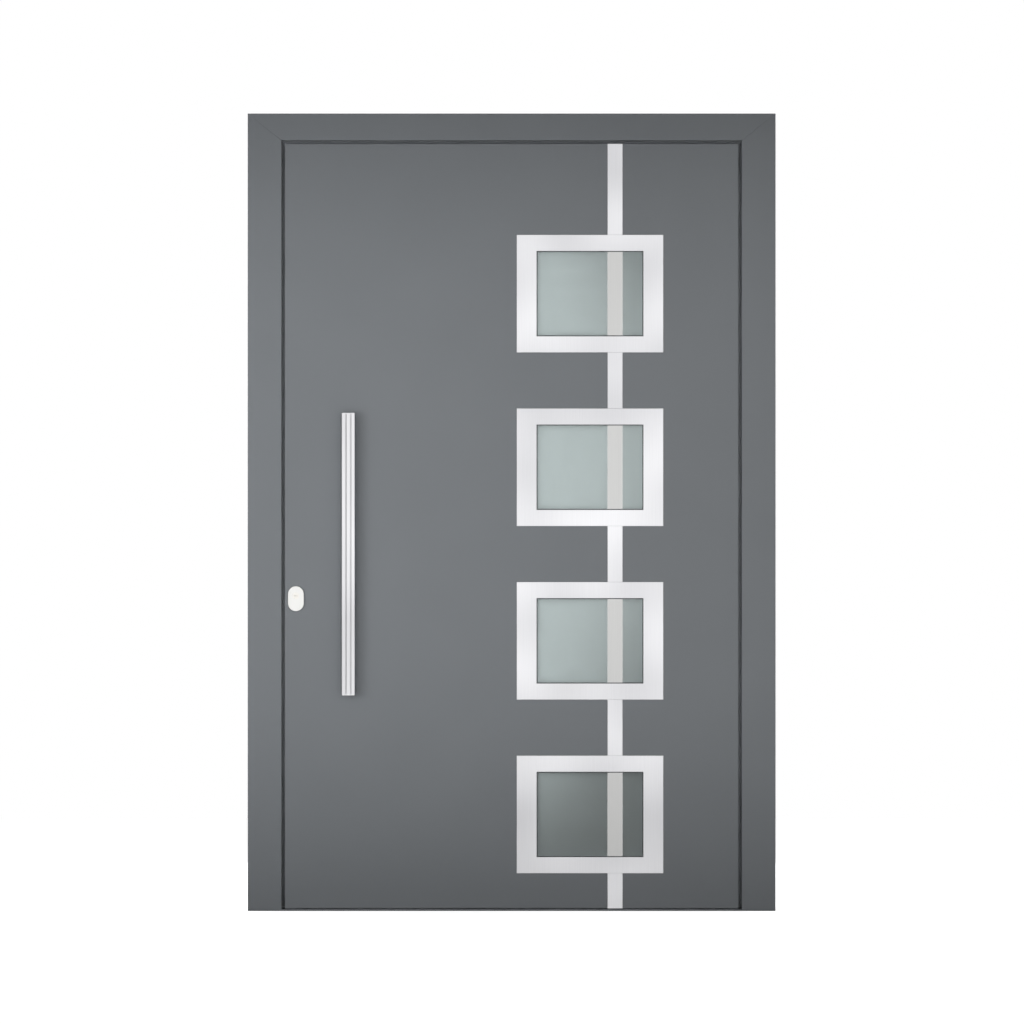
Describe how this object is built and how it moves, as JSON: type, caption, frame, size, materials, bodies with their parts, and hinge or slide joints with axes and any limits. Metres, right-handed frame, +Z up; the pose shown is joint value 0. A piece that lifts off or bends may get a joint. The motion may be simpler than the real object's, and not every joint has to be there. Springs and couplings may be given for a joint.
{
  "type": "panelled entrance door with glazed lights",
  "caption": "Grey aluminium entrance door in its frame, with satin glass lights in steel trims, a steel strip and a long vertical pull bar; opens inward on side hinges.",
  "frame": {"origin": "centre of the threshold's underside, at mid depth of the frame", "axes": "+X to the right seen from outside, towards the hinges; +Y into the house; +Z up"},
  "size_m": [1.39, 0.211, 2.1],
  "materials": {
    "mill_aluminium": "satin",
    "brushed_stainless": "satin",
    "zinc_steel": "satin",
    "satin_glass": "satin",
    "clear_glass": "gloss",
    "epdm": "matte",
    "polyamide": "matte",
    "foam": "matte",
    "coated_aluminium": "matte",
    "nickel_brass": "satin"
  },
  "bodies": {
    "frame": {"lock_jamb": "coated_aluminium", "hinge_jamb": "coated_aluminium", "frame_head": "coated_aluminium", "frame_thermal_bars": "polyamide", "frame_corner_cleats": "mill_aluminium", "frame_stop_gasket": "epdm", "threshold_plate": "coated_aluminium", "main_strike_plate": "brushed_stainless", "auxiliary_strike_plates": "brushed_stainless", "hinge_frame_flags": "coated_aluminium", "hinge_pins": "zinc_steel"},
    "leaf": {"outer_sheet": "coated_aluminium", "inner_sheet": "coated_aluminium", "insulating_core": "foam", "lock_stile": "coated_aluminium", "hinge_stile": "coated_aluminium", "top_rail": "coated_aluminium", "bottom_rail": "coated_aluminium", "leaf_thermal_bars": "polyamide", "leaf_corner_cleats": "mill_aluminium", "lock_faceplate": "brushed_stainless", "lock_case": "zinc_steel", "auxiliary_lock_cases": "zinc_steel", "hinge_leaf_flags": "coated_aluminium", "drop_seal_housing": "mill_aluminium", "steel_strips": "brushed_stainless", "inner_panes": "clear_glass", "glazing_spacers": "mill_aluminium", "pane_strips": "brushed_stainless", "glazing_tapes": "epdm", "inner_window_frames": "coated_aluminium", "pull_bar": "brushed_stainless", "pull_bar_end_caps": "brushed_stainless", "pull_bar_posts": "brushed_stainless", "pull_bar_studs": "zinc_steel", "outer_escutcheon": "brushed_stainless", "inner_escutcheon": "brushed_stainless", "lever_rose": "brushed_stainless", "cylinder_body": "nickel_brass", "window_trim_1": "brushed_stainless", "outer_pane_1": "satin_glass", "window_trim_2": "brushed_stainless", "outer_pane_2": "satin_glass", "window_trim_3": "brushed_stainless", "outer_pane_3": "satin_glass", "window_trim_4": "brushed_stainless", "outer_pane_4": "satin_glass"},
    "key_core": {"cylinder_plug": "nickel_brass", "cylinder_cam": "zinc_steel", "thumb_turn": "brushed_stainless"},
    "lever": {"lever_handle": "brushed_stainless", "lever_spindle": "zinc_steel", "lever_follower": "zinc_steel"},
    "latch": {"latch_bolt": "zinc_steel"},
    "bolts": {"deadbolt": "zinc_steel", "auxiliary_bolts": "zinc_steel"},
    "drop_seal": {"drop_seal_bar": "epdm"}
  },
  "joints": [
    {"name": "leaf_swing", "type": "hinge", "parent": "frame", "child": "leaf", "pos_m": [0.6235, 0.0545, 1.025], "axis": [0, 0, -1], "range_deg": [0, 100]},
    {"name": "lever_turn", "type": "hinge", "parent": "leaf", "child": "lever", "pos_m": [-0.568, 0.06, 0.922], "axis": [0, 1, 0], "range_deg": [0, 40], "stiffness_Nm_per_rad": 1.5, "springref_deg": -28.65},
    {"name": "latch_slide", "type": "slide", "parent": "leaf", "child": "latch", "axis": [-1, 0, 0], "range_m": [0, 0.012]},
    {"name": "key_turn", "type": "hinge", "parent": "leaf", "child": "key_core", "pos_m": [-0.568, 0, 0.83], "axis": [0, -1, 0], "range_deg": [0, 360]},
    {"name": "bolt_throw", "type": "slide", "parent": "leaf", "child": "bolts", "axis": [-1, 0, 0], "range_m": [0, 0.02]},
    {"name": "drop_seal_lift", "type": "slide", "parent": "leaf", "child": "drop_seal", "axis": [0, 0, 1], "range_m": [0, 0.006]}
  ],
  "couplings": [
    {"joint": "key_turn", "follows": "bolt_throw", "rad_per_m": 314.16}
  ]
}
